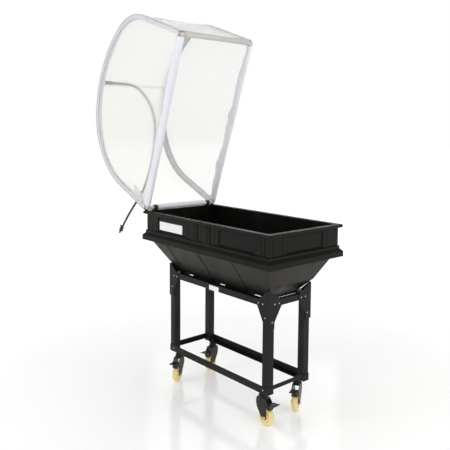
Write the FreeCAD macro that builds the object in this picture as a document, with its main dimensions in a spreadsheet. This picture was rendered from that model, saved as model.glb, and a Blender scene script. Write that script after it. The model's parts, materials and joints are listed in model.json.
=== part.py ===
"""Raised cold frame: a planter tub on a wheeled steel stand, under a hinged fabric canopy.

Millimetres. Origin on the floor under the middle of the stand, +Z up, +X towards the end
away from the canopy hinge, -Y towards the labelled long side. The canopy stands open.
"""
import FreeCAD, Part
import math
import os
import Sketcher
from FreeCAD import Placement, Rotation, Vector

SIZES = {
    # tub
    "rim_length": 1000, "rim_width": 508, "rim_top": 953, "rim_band": 14,
    "wall_length": 968, "wall_width": 476, "wall_gauge": 12, "wall_base": 822,
    "flare_top": 850, "lip_top": 820, "lip_base": 794,
    "lip_length": 1007, "lip_width": 515, "lip_gauge": 6,
    "post_long": 75, "post_short": 56, "seam_gap": 0.8, "groove_size": 2.5,
    "recess_long": 238, "recess_short": 244, "recess_shift": 257, "recess_low": 856,
    "recess_high": 928, "recess_depth": 6,
    "pilaster_near": 30, "pilaster_far": 70, "pilaster_edge": 107, "pilaster_proud": 3,
    # hopper
    "hopper_gauge": 4, "flange_length": 986, "flange_width": 494, "flange_gauge": 5,
    "hopper_top_length": 947, "hopper_top_width": 482,
    "hopper_break": 680, "break_length": 816, "break_width": 294,
    "hopper_seat": 614, "seat_length": 670, "seat_width": 225, "hopper_base": 600,
    "flute_pitch": 265, "flute_width": 132, "flute_depth": 6, "drain_radius": 12,
    "notch_width": 78, "notch_height": 24, "notch_depth": 42,
    # stand
    "stand_length": 781, "stand_width": 286, "leg_size": 38, "leg_gauge": 2.5,
    "gusset_gauge": 2.5, "rail_top": 614, "rail_depth": 31, "rail_flange": 32.5, "rail_gauge": 2.5,
    "lower_rail_base": 159, "lower_rail_depth": 37, "end_rail_base": 179, "end_rail_depth": 21,
    "bolt_radius": 4.5,
    # casters
    "caster_inset_along": 52, "caster_inset_across": 21, "stem_radius": 6, "wheel_radius": 42,
    "wheel_width": 28, "trail": 24, "axle_radius": 5,
    "fork_gap": 33, "fork_gauge": 3, "crown_top": 145, "running_gap": 0.06,
    "pedal_height": 103, "pedal_pivot": 38, "pedal_reach": 92,
    # canopy
    "hinge_inset": 18, "hinge_rise": 16, "canopy_length": 976, "canopy_width": 472,
    "frame_tube_radius": 9, "hoop_tube_radius": 8, "tube_gauge": 1.5, "ridge_radius": 6.5,
    "socket_radius": 11, "socket_length": 36, "shoulder": 367, "haunch": 262,
    "crown": 655, "hinge_haunch": 430, "hinge_haunch_centre": 453, "ridge_shift": 17,
    "cover_gauge": 2, "cover_gap": 0.5, "cover_foot": 14, "open_angle": 70.7,
    "clip_offset": 186, "clip_width": 24,
    "hose_radius": 6.5, "grommet_radius": 12, "grommet_length": 26,
}

doc = FreeCAD.newDocument("cold_frame")
sheet = doc.addObject("Spreadsheet::Sheet", "Dimensions")
for row, (alias, number) in enumerate(SIZES.items(), start=1):
    sheet.set(f"A{row}", alias)
    sheet.set(f"B{row}", str(number))
    sheet.setAlias(f"B{row}", alias)
doc.recompute()

nodes = []


class Size:
    """A dimension worked out from the sheet: its value, and the formula that binds it."""

    def __init__(self, value, text):
        self.value = value
        self.text = text

    def __add__(self, other):
        other = as_size(other)
        return Size(self.value + other.value, f"({self.text} + {other.text})")

    def __sub__(self, other):
        other = as_size(other)
        return Size(self.value - other.value, f"({self.text} - {other.text})")

    def __mul__(self, other):
        other = as_size(other)
        return Size(self.value * other.value, f"({self.text} * {other.text})")

    def __truediv__(self, other):
        other = as_size(other)
        return Size(self.value / other.value, f"({self.text} / {other.text})")

    def __radd__(self, other):
        return as_size(other) + self

    def __rsub__(self, other):
        return as_size(other) - self

    __rmul__ = __mul__

    def __neg__(self):
        return self * -1


def as_size(item):
    return item if isinstance(item, Size) else Size(float(item), repr(float(item)))


def cell(alias):
    return Size(float(sheet.get(alias)), f"Dimensions.{alias}")


S = {alias: cell(alias) for alias in SIZES}


def bind(obj, prop, size):
    obj.setExpression(prop, as_size(size).text)


def set_place(obj, base, rotation=None):
    """Place an object at base (three sizes), bound to the sheet, with a fixed rotation."""
    obj.Placement = Placement(Vector(*[as_size(b).value for b in base]), rotation or Rotation())
    for letter, size in zip("xyz", base):
        bind(obj, f"Placement.Base.{letter}", size)


def finish_node(obj, label):
    obj.Label = label
    nodes.append(obj)
    return obj


# ---------------------------------------------------------------- primitives and booleans

TURN_TO = {
    "Z": Rotation(),
    "X": Rotation(Vector(0, 1, 0), 90),
    "Y": Rotation(Vector(1, 0, 0), -90),
}


def box(name, low, high):
    """A box between two opposite corners."""
    obj = doc.addObject("Part::Box", name)
    for prop, start, end in zip(("Length", "Width", "Height"), low, high):
        bind(obj, prop, as_size(end) - start)
    set_place(obj, low)
    return obj


def rod(name, radius, start, length, axis="Z"):
    """A cylinder from start along +X, +Y or +Z."""
    obj = doc.addObject("Part::Cylinder", name)
    bind(obj, "Radius", radius)
    bind(obj, "Height", length)
    set_place(obj, start, TURN_TO[axis])
    return obj


def cone(name, radius_start, radius_end, start, length, axis="Z"):
    obj = doc.addObject("Part::Cone", name)
    bind(obj, "Radius1", radius_start)
    bind(obj, "Radius2", radius_end)
    bind(obj, "Height", length)
    set_place(obj, start, TURN_TO[axis])
    return obj


def turned_cylinder(name, radius, length, centre, way):
    """A cylinder centred on a point, along any direction."""
    piece = doc.addObject("Part::Cylinder", name)
    bind(piece, "Radius", radius)
    bind(piece, "Height", length)
    half = as_size(length).value / 2
    piece.Placement = Placement(centre - way * half, Rotation(Vector(0, 0, 1), way))
    return piece


def fuse(name, shapes):
    obj = doc.addObject("Part::MultiFuse", name)
    obj.Shapes = shapes
    return obj


def common(name, shapes):
    obj = doc.addObject("Part::MultiCommon", name)
    obj.Shapes = shapes
    return obj


def cut(name, base, tools):
    """The base with every tool taken away."""
    tool = tools[0] if len(tools) == 1 else group(name + "_tools", tools)
    obj = doc.addObject("Part::Cut", name)
    obj.Base = base
    obj.Tool = tool
    return obj


def group(name, shapes):
    """Several separate solids kept as one object."""
    obj = doc.addObject("Part::Compound", name)
    obj.Links = shapes
    return obj


# ---------------------------------------------------------------- sketches and bodies

def new_body(name):
    return doc.addObject("PartDesign::Body", name)


def new_sketch(body, name, plane, lift=0):
    """A sketch on one of the body's origin planes, lifted along that plane's normal."""
    sketch = body.newObject("Sketcher::SketchObject", name)
    support = [f for f in body.Origin.OriginFeatures if f.Role == plane][0]
    sketch.AttachmentSupport = (support, [""])
    sketch.MapMode = "FlatFace"
    lift = as_size(lift)
    sketch.AttachmentOffset = Placement(Vector(0, 0, lift.value), Rotation())
    bind(sketch, "AttachmentOffset.Base.z", lift)
    return sketch


def hold_point(sketch, line, end, x, y):
    """Dimension one end of a line from the sketch's origin."""
    for kind, axis, size in (("DistanceX", -2, as_size(x)), ("DistanceY", -1, as_size(y))):
        if abs(size.value) < 1e-9:
            sketch.addConstraint(Sketcher.Constraint("PointOnObject", line, end, axis))
        else:
            index = sketch.addConstraint(Sketcher.Constraint(kind, -1, 1, line, end, size.value))
            bind(sketch, f"Constraints[{index}]", size)


def polygon(sketch, points):
    """A closed outline of straight lines through points, each a pair of sizes."""
    first = sketch.GeometryCount
    count = len(points)
    flat = [Vector(as_size(x).value, as_size(y).value, 0) for x, y in points]
    for i in range(count):
        sketch.addGeometry(Part.LineSegment(flat[i], flat[(i + 1) % count]), False)
    for i in range(count):
        joint = Sketcher.Constraint("Coincident", first + i, 2, first + (i + 1) % count, 1)
        sketch.addConstraint(joint)
        hold_point(sketch, first + i, 1, *points[i])


def rectangle(sketch, length, width):
    polygon(sketch, [(-length / 2, -width / 2), (length / 2, -width / 2),
                     (length / 2, width / 2), (-length / 2, width / 2)])


def circle(sketch, radius, x=0, y=0):
    """A circle with a bound radius and centre."""
    radius = as_size(radius)
    centre = Vector(as_size(x).value, as_size(y).value, 0)
    index = sketch.addGeometry(Part.Circle(centre, Vector(0, 0, 1), radius.value), False)
    rule = sketch.addConstraint(Sketcher.Constraint("Radius", index, radius.value))
    bind(sketch, f"Constraints[{rule}]", radius)
    hold_point(sketch, index, 3, x, y)


def pad(body, name, sketch, length):
    feature = body.newObject("PartDesign::Pad", name)
    feature.Profile = sketch
    bind(feature, "Length", length)
    return feature


def padded_outline(name, plane, points, length, lift=0):
    """A body: one closed outline given a thickness along the plane's normal."""
    body = new_body(name)
    sketch = new_sketch(body, name + "_outline", plane, lift)
    polygon(sketch, points)
    pad(body, name + "_pad", sketch, length)
    return body


def revolved(name, points):
    """A body: a half section in the XZ plane, turned all the way round Z."""
    body = new_body(name)
    sketch = new_sketch(body, name + "_section", "XZ_Plane")
    polygon(sketch, points)
    turn = body.newObject("PartDesign::Revolution", name + "_turn")
    turn.Profile = sketch
    turn.ReferenceAxis = (sketch, ["V_Axis"])
    turn.Angle = 360
    return body


# ---------------------------------------------------------------- tub walls

HALF_WALL_X = S["wall_length"] / 2
HALF_WALL_Y = S["wall_width"] / 2


def frustum(name, low, low_size, high, high_size):
    """A solid between two rectangles, both centred on the Z axis."""
    body = new_body(name)
    sections = []
    for tag, height, (length, width) in (("low", low, low_size), ("high", high, high_size)):
        sketch = new_sketch(body, f"{name}_{tag}", "XY_Plane", height)
        rectangle(sketch, length, width)
        sections.append(sketch)
    loft = body.newObject("PartDesign::AdditiveLoft", name + "_loft")
    loft.Profile = sections[0]
    loft.Sections = [sections[1]]
    loft.Ruled = True
    return body


def centred_box(name, length, width, low, high):
    return box(name, (-length / 2, -width / 2, low), (length / 2, width / 2, high))


def make_wall_ring():
    """The whole wall with its rim and stepped skirt, before it is divided into pieces."""
    ledge = 12
    outer = fuse("ring_outer", [
        centred_box("ring_rim", S["rim_length"], S["rim_width"],
                    S["rim_top"] - S["rim_band"], S["rim_top"]),
        frustum("ring_cove", S["rim_top"] - S["rim_band"] - 5, (S["wall_length"], S["wall_width"]),
                S["rim_top"] - S["rim_band"], (S["wall_length"] + 14, S["wall_width"] + 14)),
        centred_box("ring_wall", S["wall_length"], S["wall_width"], S["wall_base"], S["rim_top"]),
        frustum("ring_bead", S["flare_top"] - 4, (S["wall_length"] + ledge, S["wall_width"] + ledge),
                S["flare_top"], (S["wall_length"], S["wall_width"])),
        centred_box("ring_bead_face", S["wall_length"] + ledge, S["wall_width"] + ledge,
                    S["wall_base"], S["flare_top"] - 4),
        frustum("ring_flare", S["lip_top"], (S["lip_length"], S["lip_width"]),
                S["lip_top"] + 14, (S["wall_length"] + ledge, S["wall_width"] + ledge)),
        centred_box("ring_lip", S["lip_length"], S["lip_width"], S["lip_base"], S["lip_top"]),
    ])
    lip = S["lip_gauge"] * 2
    soil_space = centred_box("soil_space", S["wall_length"] - S["wall_gauge"] * 2,
                             S["wall_width"] - S["wall_gauge"] * 2, 700, 1000)
    flange_space = centred_box("flange_space", S["lip_length"] - lip, S["lip_width"] - lip,
                               700, S["wall_base"])
    return cut("wall_ring", outer, [soil_space, flange_space])


def ring_piece(label, low, high, tools, extras=()):
    """The stretch of the wall ring inside a box, with its recess and grooves cut."""
    region = box(label + "_region", low, high)
    piece = common(label + "_blank", [wall_ring, region])
    if extras:
        piece = fuse(label + "_raised", [piece] + list(extras))
    if tools:
        piece = cut(label, piece, tools)
    return finish_node(piece, label)


def recess(name, centre, length, face, sign, along):
    """A bevelled rectangular pocket in a wall's outer face."""
    bevel = 5
    deep = S["recess_depth"]
    body = new_body(name)
    sections = []
    for tag, depth, grow in (("floor", deep, 0), ("mouth", as_size(-2), bevel + 2)):
        lift = (face - depth) * sign
        plane = "XZ_Plane" if along == "X" else "YZ_Plane"
        sketch = new_sketch(body, f"{name}_{tag}", plane, -lift if along == "X" else lift)
        low, high = S["recess_low"], S["recess_high"]
        left, right = centre - length / 2, centre + length / 2
        polygon(sketch, [(left - grow, low - grow), (right + grow, low - grow),
                         (right + grow, high + grow * 0.8), (left - grow, high + grow * 0.8)])
        sections.append(sketch)
    loft = body.newObject("PartDesign::AdditiveLoft", name + "_loft")
    loft.Profile = sections[0]
    loft.Sections = [sections[1]]
    loft.Ruled = True
    return body


def groove(name, position, face, sign, along):
    """A narrow upright groove in a wall's outer face, between the skirt and the rim."""
    half = S["groove_size"] / 2
    low, high = S["flare_top"], S["rim_top"] - S["rim_band"] - 6
    inner = (face - S["groove_size"]) * sign
    outer = (face + 8) * sign
    near, far = (inner, outer) if sign > 0 else (outer, inner)
    if along == "X":
        return box(name, (position - half, near, low), (position + half, far, high))
    return box(name, (near, position - half, low), (far, position + half, high))


def make_long_wall(side, sign, end, turn):
    label = f"wall_{side}_{end}"
    inner_x = S["seam_gap"] / 2
    outer_x = HALF_WALL_X - S["post_long"] - S["seam_gap"] / 2
    low_x, high_x = (inner_x, outer_x) if turn > 0 else (-outer_x, -inner_x)
    near_y, far_y = (150, 300) if sign > 0 else (-300, -150)
    near, far = S["pilaster_near"], S["pilaster_far"]
    raised_low, raised_high = (near, far) if turn > 0 else (-far, -near)
    skin = HALF_WALL_Y + S["pilaster_proud"]
    y_low, y_high = (HALF_WALL_Y - 2, skin) if sign > 0 else (-skin, 2 - HALF_WALL_Y)
    raised = box(label + "_pilaster", (raised_low, y_low, S["flare_top"] - 4),
                 (raised_high, y_high, S["rim_top"] - S["rim_band"] - 6))
    tools = [recess(label + "_recess", S["recess_shift"] * turn, S["recess_long"], HALF_WALL_Y,
                    sign, "X")]
    middle = (near + far) / 2
    for tag, place in (("a", middle - 6), ("b", middle + 6), ("c", S["pilaster_edge"])):
        tools.append(groove(f"{label}_groove_{tag}", place * turn, HALF_WALL_Y + (
            S["pilaster_proud"] if tag != "c" else 0), sign, "X"))
    ring_piece(label, (low_x, near_y, 780), (high_x, far_y, 1000), tools, [raised])


def make_end_wall(end, turn):
    label = f"wall_end_{end}"
    reach = HALF_WALL_Y - S["post_short"] - S["seam_gap"] / 2
    low_x, high_x = (400, 520) if turn > 0 else (-520, -400)
    tools = [recess(label + "_recess", as_size(0), S["recess_short"], HALF_WALL_X, turn, "Y")]
    for tag, place in (("a", -1), ("b", 1)):
        spot = (reach + S["recess_short"] / 2 + 6) / 2 * place
        tools.append(groove(f"{label}_groove_{tag}", spot, HALF_WALL_X, turn, "Y"))
    ring_piece(label, (low_x, -reach, 780), (high_x, reach, 1000), tools)


def make_corner_post(side, sign, end, turn):
    """An L-shaped post: the ring's corner, less the space behind its two faces."""
    label = f"corner_post_{side}_{end}"
    x_in = HALF_WALL_X - S["post_long"] + S["seam_gap"] / 2
    y_in = HALF_WALL_Y - S["post_short"] + S["seam_gap"] / 2
    low_x, high_x = (x_in, 520) if turn > 0 else (-520, -x_in)
    low_y, high_y = (y_in, 300) if sign > 0 else (-300, -y_in)
    tools = []
    for tag, place in (("a", 28), ("b", 50)):
        tools.append(groove(f"{label}_long_{tag}", (HALF_WALL_X - place) * turn, HALF_WALL_Y,
                            sign, "X"))
    tools.append(groove(f"{label}_short", (HALF_WALL_Y - 28) * sign, HALF_WALL_X, turn, "Y"))
    ring_piece(label, (low_x, low_y, 780), (high_x, high_y, 1000), tools)


# ---------------------------------------------------------------- hopper

def make_hopper():
    """The tapered lower tub: a flange, a steep part, a shallower part and a flat floor."""
    gauge = S["hopper_gauge"] * 2
    flange_low = S["wall_base"] - S["flange_gauge"]
    levels = [
        (S["hopper_base"], S["seat_length"] - 6, S["seat_width"] - 6),
        (S["hopper_seat"], S["seat_length"], S["seat_width"]),
        (S["hopper_break"], S["break_length"], S["break_width"]),
        (flange_low, S["hopper_top_length"], S["hopper_top_width"]),
    ]
    outer = [centred_box("hopper_flange", S["flange_length"], S["flange_width"],
                         flange_low, S["wall_base"])]
    inner = [centred_box("hopper_mouth", S["hopper_top_length"] - gauge,
                         S["hopper_top_width"] - gauge - 24, flange_low, S["wall_base"] + 5)]
    for index in range(len(levels) - 1):
        low, low_x, low_y = levels[index]
        high, high_x, high_y = levels[index + 1]
        floor = S["hopper_gauge"] if index == 0 else 0
        trim = 24 if index == len(levels) - 2 else 0
        outer.append(frustum(f"hopper_outer_{index}", low, (low_x, low_y), high, (high_x, high_y)))
        inner.append(frustum(f"hopper_inner_{index}", low + floor, (low_x - gauge, low_y - gauge),
                             high, (high_x - gauge, high_y - gauge - trim)))
    flutes, notches, notch_walls = [], [], []
    for index in (-1, 0, 1):
        for tag, sign in (("front", -1), ("rear", 1)):
            name = f"hopper_{index + 2}_{tag}"
            flutes.append(make_flute(name + "_flute", index, sign))
            notches.append(make_notch(name + "_notch", index, sign, 0))
            notch_walls.append(make_notch(name + "_notch_wall", index, sign, S["hopper_gauge"]))
    space = cut("hopper_space", fuse("hopper_inside", inner), notch_walls)
    shell = cut("hopper_shell", fuse("hopper_outside", outer), [space])
    drain = rod("hopper_drain", S["drain_radius"] + 0.1, (0, 0, S["hopper_base"] - 5), 20)
    finish_node(cut("hopper", shell, flutes + notches + [drain]), "hopper")
    plug = fuse("drain_plug", [
        rod("plug_stem", S["drain_radius"], (0, 0, S["hopper_base"] - 2), 12),
        rod("plug_head", S["drain_radius"] + 6, (0, 0, S["hopper_base"] - 7), 5 - 0.1),
        rod("plug_neck", S["drain_radius"] - 2, (0, 0, S["hopper_base"] - 3), 4),
    ])
    finish_node(plug, "drain_plug")


def make_notch(name, index, sign, grow):
    """An opening moulded into the hopper's foot below each channel, to see and drain through."""
    middle = S["flute_pitch"] * index
    half = S["notch_width"] / 2 + grow
    inner = (S["seat_width"] / 2 - S["notch_depth"] - grow) * sign
    outer = (S["break_width"] / 2) * sign
    near, far = (inner, outer) if sign > 0 else (outer, inner)
    top = S["hopper_base"] + S["notch_height"] + grow
    return box(name, (middle - half, near, S["hopper_base"] - 5), (middle + half, far, top))


def make_flute(name, index, sign):
    """A shallow channel down one long face of the hopper, a little narrower at its foot."""
    high = S["wall_base"] - S["flange_gauge"]
    floor = S["flute_depth"]
    middle = S["flute_pitch"] * index
    rows = []
    for tag, height, face, width in (
            ("foot", S["hopper_seat"], S["seat_width"] / 2, S["flute_width"] - 14),
            ("bend", S["hopper_break"], S["break_width"] / 2, S["flute_width"] - 4),
            ("head", high - 16, S["hopper_top_width"] / 2 - 11, S["flute_width"])):
        rows.append((tag, height, face, width))
    parts = []
    for lower, upper in zip(rows, rows[1:]):
        body = new_body(f"{name}_{lower[0]}")
        sections = []
        for tag, height, face, width in (lower, upper):
            sketch = new_sketch(body, f"{name}_{lower[0]}_{tag}", "XY_Plane", height)
            near, far = (face - floor / 2) * sign, (face + 20) * sign
            polygon(sketch, [(middle - width / 2, far), (middle - width / 2 + 3, near),
                             (middle + width / 2 - 3, near), (middle + width / 2, far)])
            sections.append(sketch)
        loft = body.newObject("PartDesign::AdditiveLoft", body.Name + "_loft")
        loft.Profile = sections[0]
        loft.Sections = [sections[1]]
        loft.Ruled = True
        parts.append(body)
    return fuse(name, parts)


def make_labels():
    """A blank plate on the front wall and a blank tag on the front rail."""
    face = HALF_WALL_Y - S["recess_depth"]
    plate = box("label_plate", (-368, -face - 1.2, 862), (-164, -face, 908))
    rail = S["stand_width"] / 2 + S["rail_gauge"]
    tag = box("rail_tag", (-46, -rail - 0.6, 582), (30, -rail, 607))
    finish_node(group("blank_labels", [plate, tag]), "blank_labels")


# ---------------------------------------------------------------- stand

HALF_X = S["stand_length"] / 2
HALF_Y = S["stand_width"] / 2


def make_leg(side, sign, end, turn):
    """An upright square tube, standing on the lower rail and under the top rail's flange."""
    label = f"leg_{side}_{end}"
    low, high = S["lower_rail_base"] + S["rail_gauge"], S["rail_top"] - S["rail_gauge"]
    shapes = []
    for tag, near, reach in (("outside", 0, 0), ("inside", S["leg_gauge"], 1)):
        xs = sorted(((HALF_X - near) * turn, (HALF_X - S["leg_size"] + near) * turn),
                    key=lambda s: s.value)
        ys = sorted(((HALF_Y - near) * sign, (HALF_Y - S["leg_size"] + near) * sign),
                    key=lambda s: s.value)
        shapes.append(box(f"{label}_{tag}", (xs[0], ys[0], low - reach),
                          (xs[1], ys[1], high + reach)))
    finish_node(cut(label, shapes[0], [shapes[1]]), label)


def make_gussets():
    """Two bolted plates at each corner, over the rails, with a horn that steadies the hopper."""
    gauge, leg = S["gusset_gauge"], S["leg_size"]
    near_x, near_y = HALF_X + S["rail_gauge"], HALF_Y + S["rail_gauge"]
    low, top = 480, S["rail_top"]
    front = [(0, low), (leg, low), (leg, 509), (80, top - 26), (80, top - 9), (68, top),
             (11, top + 48), (0, top + 48)]
    side = [(0, low), (leg, low), (leg, 509), (86, top - 28), (86, top - 4), (74, top + 4),
            (8, top + 48), (0, top + 48)]
    solids = []
    for tag_y, sign in (("front", -1), ("rear", 1)):
        for tag_x, turn in (("left", -1), ("right", 1)):
            name = f"gusset_{tag_y}_{tag_x}"
            outline = [((near_x + gauge - s) * turn, z) for s, z in front]
            lift = -(near_y + gauge) if sign > 0 else near_y
            long_plate = padded_outline(name + "_long", "XZ_Plane", outline, gauge, lift)
            outline = [((near_y - s) * sign, z) for s, z in side]
            lift = near_x if turn > 0 else -(near_x + gauge)
            short_plate = padded_outline(name + "_short", "YZ_Plane", outline, gauge, lift)
            solids.append(fuse(name, [long_plate, short_plate]))
    finish_node(group("corner_gussets", solids), "corner_gussets")


def make_long_rail(label, sign, base, depth, flange_on_top):
    """A folded angle along one long side, its upright leaf over the legs' faces."""
    gauge = S["rail_gauge"]
    face = HALF_Y + gauge
    reach = HALF_X
    y_out, y_leaf, y_flange = face * sign, (face - gauge) * sign, (face - S["rail_flange"]) * sign
    low, high = base, base + depth
    if flange_on_top:
        points = [(y_out, low), (y_out, high), (y_flange, high), (y_flange, high - gauge),
                  (y_leaf, high - gauge), (y_leaf, low)]
    else:
        points = [(y_out, high), (y_out, low), (y_flange, low), (y_flange, low + gauge),
                  (y_leaf, low + gauge), (y_leaf, high)]
    rail = padded_outline(label + "_angle", "YZ_Plane", points, reach * 2, -reach)
    if not flange_on_top:
        inset = HALF_X - S["caster_inset_along"]
        across = (HALF_Y - S["caster_inset_across"]) * sign
        holes = [rod(f"{label}_hole_{tag}", S["stem_radius"] + 0.1, (inset * turn, across, base - 1),
                     gauge + 2) for tag, turn in (("left", -1), ("right", 1))]
        tabs = []
        for tag, turn in (("left", -1), ("right", 1)):
            xs = sorted((reach * turn, (reach + gauge) * turn), key=lambda s: s.value)
            ys = sorted((y_out, (HALF_Y - S["leg_size"]) * sign), key=lambda s: s.value)
            tabs.append(box(f"{label}_tab_{tag}", (xs[0], ys[0], low), (xs[1], ys[1], high)))
        rail = cut(label + "_drilled", fuse(label + "_folded", [rail] + tabs), holes)
    return finish_node(rail, label)


def make_end_rail(label, turn, base, depth, flange_on_top):
    """A folded angle across one end: over the legs at the top, and between them lower down."""
    gauge = S["rail_gauge"]
    face = HALF_X + gauge if flange_on_top else HALF_X
    reach = HALF_Y if flange_on_top else HALF_Y - S["leg_size"] - 0.2
    short = HALF_Y + gauge - S["rail_flange"] - 0.2 if flange_on_top else reach
    leaf_x = sorted((face * turn, (face - gauge) * turn), key=lambda s: s.value)
    flange_x = sorted((face * turn, (face - 24) * turn), key=lambda s: s.value)
    high = base + depth
    flange_low = high - gauge if flange_on_top else base
    leaf_low, leaf_high = (base, high - gauge) if flange_on_top else (base, high)
    leaf = box(label + "_leaf", (leaf_x[0], -reach, leaf_low), (leaf_x[1], reach, leaf_high))
    flange = box(label + "_flange", (flange_x[0], -short, flange_low),
                 (flange_x[1], short, flange_low + gauge))
    return finish_node(fuse(label, [leaf, flange]), label)


def dome_bolt(name, position, axis, sign):
    """A low domed head on a short shank, its seat at the given point."""
    radius = S["bolt_radius"]
    x, y, z = position
    head = doc.addObject("Part::Sphere", name + "_head")
    bind(head, "Radius", radius * 1.25)
    sink = radius * 0.75
    centre = [x, y, z]
    slot = "XY".index(axis)
    centre[slot] = as_size(centre[slot]) - sink * sign
    set_place(head, centre)
    half = radius * 1.5
    low = [x - half, y - half, z - half]
    high = [x + half, y + half, z + half]
    bounds = sorted((as_size(position[slot]), as_size(position[slot]) + half * sign),
                    key=lambda s: s.value)
    low[slot], high[slot] = bounds
    return common(name, [head, box(name + "_side", low, high)])


def make_bolts():
    """Domed bolts on both faces of every corner, and low down on every leg's outer face."""
    solids = []
    cover = S["rail_gauge"] + S["gusset_gauge"]
    plate_y, plate_x = HALF_Y + cover, HALF_X + cover
    for tag_y, sign in (("front", -1), ("rear", 1)):
        for tag_x, turn in (("left", -1), ("right", 1)):
            name = f"bolt_{tag_y}_{tag_x}"
            for index, (inset, height) in enumerate(((65, 596), (35, 596), (19, 532))):
                spot = ((HALF_X - inset) * turn, plate_y * sign, as_size(height))
                solids.append(dome_bolt(f"{name}_long_{index}", spot, "Y", sign))
            for index, (inset, height) in enumerate(((66, 596), (36, 596), (20, 512))):
                spot = (plate_x * turn, (HALF_Y - inset) * sign, as_size(height))
                solids.append(dome_bolt(f"{name}_short_{index}", spot, "X", turn))
            spot = ((HALF_X - 30) * turn, (HALF_Y + S["rail_gauge"]) * sign, as_size(178))
            solids.append(dome_bolt(f"{name}_foot", spot, "Y", sign))
    finish_node(group("frame_bolts", solids), "frame_bolts")


# ---------------------------------------------------------------- casters

# the corner that each caster stands under, and the way its wheel trails
CASTERS = (
    ("front_left", -1, -1, -62),
    ("front_right", -1, 1, 6),
    ("rear_right", 1, 1, -62),
    ("rear_left", 1, -1, -77),
)


def swivel_place(sign, turn, heading):
    """The place of a caster's own frame: +X is the way the wheel trails."""
    along, across = HALF_X - S["caster_inset_along"], HALF_Y - S["caster_inset_across"]
    base = Vector((along * turn).value, (across * sign).value, 0)
    return Placement(base, Rotation(Vector(0, 0, 1), heading))


def make_caster_heads():
    """The fixed half of each swivel: a washer, its race, the stem through the rail, and nuts."""
    solids = []
    top, radius = S["lower_rail_base"], S["stem_radius"]
    seat = S["lower_rail_base"] + S["rail_gauge"]
    for name, sign, turn, _ in CASTERS:
        x = (HALF_X - S["caster_inset_along"]) * turn
        y = (HALF_Y - S["caster_inset_across"]) * sign
        low = S["crown_top"] - 24
        solids.append(fuse(f"head_{name}", [
            rod(f"head_{name}_washer", 20, (x, y, top - 3), 3),
            cone(f"head_{name}_race", 20, 17, (x, y, S["crown_top"] + 0.4),
                 top - 3 - S["crown_top"] - 0.4),
            rod(f"head_{name}_stem", radius, (x, y, low), seat + 12 - low),
            rod(f"head_{name}_low_nut", radius + 4, (x, y, low), 8),
            rod(f"head_{name}_top_nut", radius + 3.5, (x, y, seat), 8),
        ]))
    finish_node(group("caster_heads", solids), "caster_heads")


def make_fork(name, place):
    """A crown with its race, and two cheeks that taper to the axle."""
    top, gauge = S["crown_top"], S["fork_gauge"]
    half = S["fork_gap"] / 2
    crown_low = top - 15
    axle_x, axle_z = S["trail"], S["wheel_radius"]
    outline = [(-22, crown_low + 4), (28, crown_low + 4), (45, crown_low - 20),
               (46, crown_low - 32), (34, crown_low - 44), (axle_x + 9, axle_z + 22),
               (axle_x + 13, axle_z), (axle_x + 8, axle_z - 10), (axle_x - 8, axle_z - 10),
               (axle_x - 15, axle_z), (-8, crown_low - 66), (-21, crown_low - 44),
               (-26, crown_low - 24), (-25, crown_low - 8)]
    cheeks = []
    for tag, lift in (("near", half), ("far", -half - gauge)):
        cheeks.append(padded_outline(f"fork_{name}_{tag}", "XZ_Plane", outline, gauge, lift))
    crown = box(f"fork_{name}_crown", (-22, -half - gauge, crown_low),
                (30, half + gauge, crown_low + 4))
    race = cone(f"fork_{name}_race", 23, 20, (0, 0, crown_low + 4), 11)
    pivot = rod(f"fork_{name}_pivot", 3, (S["pedal_pivot"], -half - gauge, S["pedal_height"]),
                S["fork_gap"] + gauge * 2, "Y")
    body = fuse(f"fork_{name}_body", cheeks + [crown, race, pivot])
    pin_hole = rod(f"fork_{name}_pin_hole", S["stem_radius"] + S["running_gap"],
                   (0, 0, crown_low - 5), 30)
    axle_hole = rod(f"fork_{name}_axle_hole", S["axle_radius"] + 0.02,
                    (axle_x, -half - gauge - 1, axle_z), S["fork_gap"] + gauge * 2 + 2, "Y")
    node = cut(f"caster_fork_{name}", body, [pin_hole, axle_hole])
    node.Placement = place
    finish_node(node, f"caster_fork_{name}")


def make_wheel(name, place):
    """A moulded wheel: rounded tread, recessed web and a hub bored for the axle."""
    bore = S["axle_radius"] + S["running_gap"]
    rim, half = S["wheel_radius"], S["wheel_width"] / 2
    section = [(bore, -half), (13, -half), (15, -6), (29, -6), (31, 2 - half), (rim - 5, -half),
               (rim - 1.5, 3.5 - half), (rim, 8 - half), (rim, half - 8), (rim - 1.5, half - 3.5),
               (rim - 5, half), (31, half - 2), (29, 6), (15, 6), (13, half), (bore, half)]
    wheel = revolved(f"caster_wheel_{name}", section)
    stand_up = Placement(Vector(S["trail"].value, 0, rim.value), Rotation(Vector(1, 0, 0), 90))
    wheel.Placement = place.multiply(stand_up)
    finish_node(wheel, f"caster_wheel_{name}")


def make_axle(name, place):
    """The axle bolt, its domed head and its nut outside the cheeks."""
    radius, reach = S["axle_radius"], S["fork_gap"] / 2 + S["fork_gauge"]
    x, z = S["trail"], S["wheel_radius"]
    node = fuse(f"caster_axle_{name}", [
        rod(f"axle_{name}_shank", radius, (x, -reach - 2, z), reach * 2 + 4, "Y"),
        cone(f"axle_{name}_head", 7, 8.5, (x, -reach - 5, z), 5, "Y"),
        cone(f"axle_{name}_nut", 8.5, 6.5, (x, reach, z), 6, "Y"),
    ])
    node.Placement = place
    finish_node(node, f"caster_axle_{name}")


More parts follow.
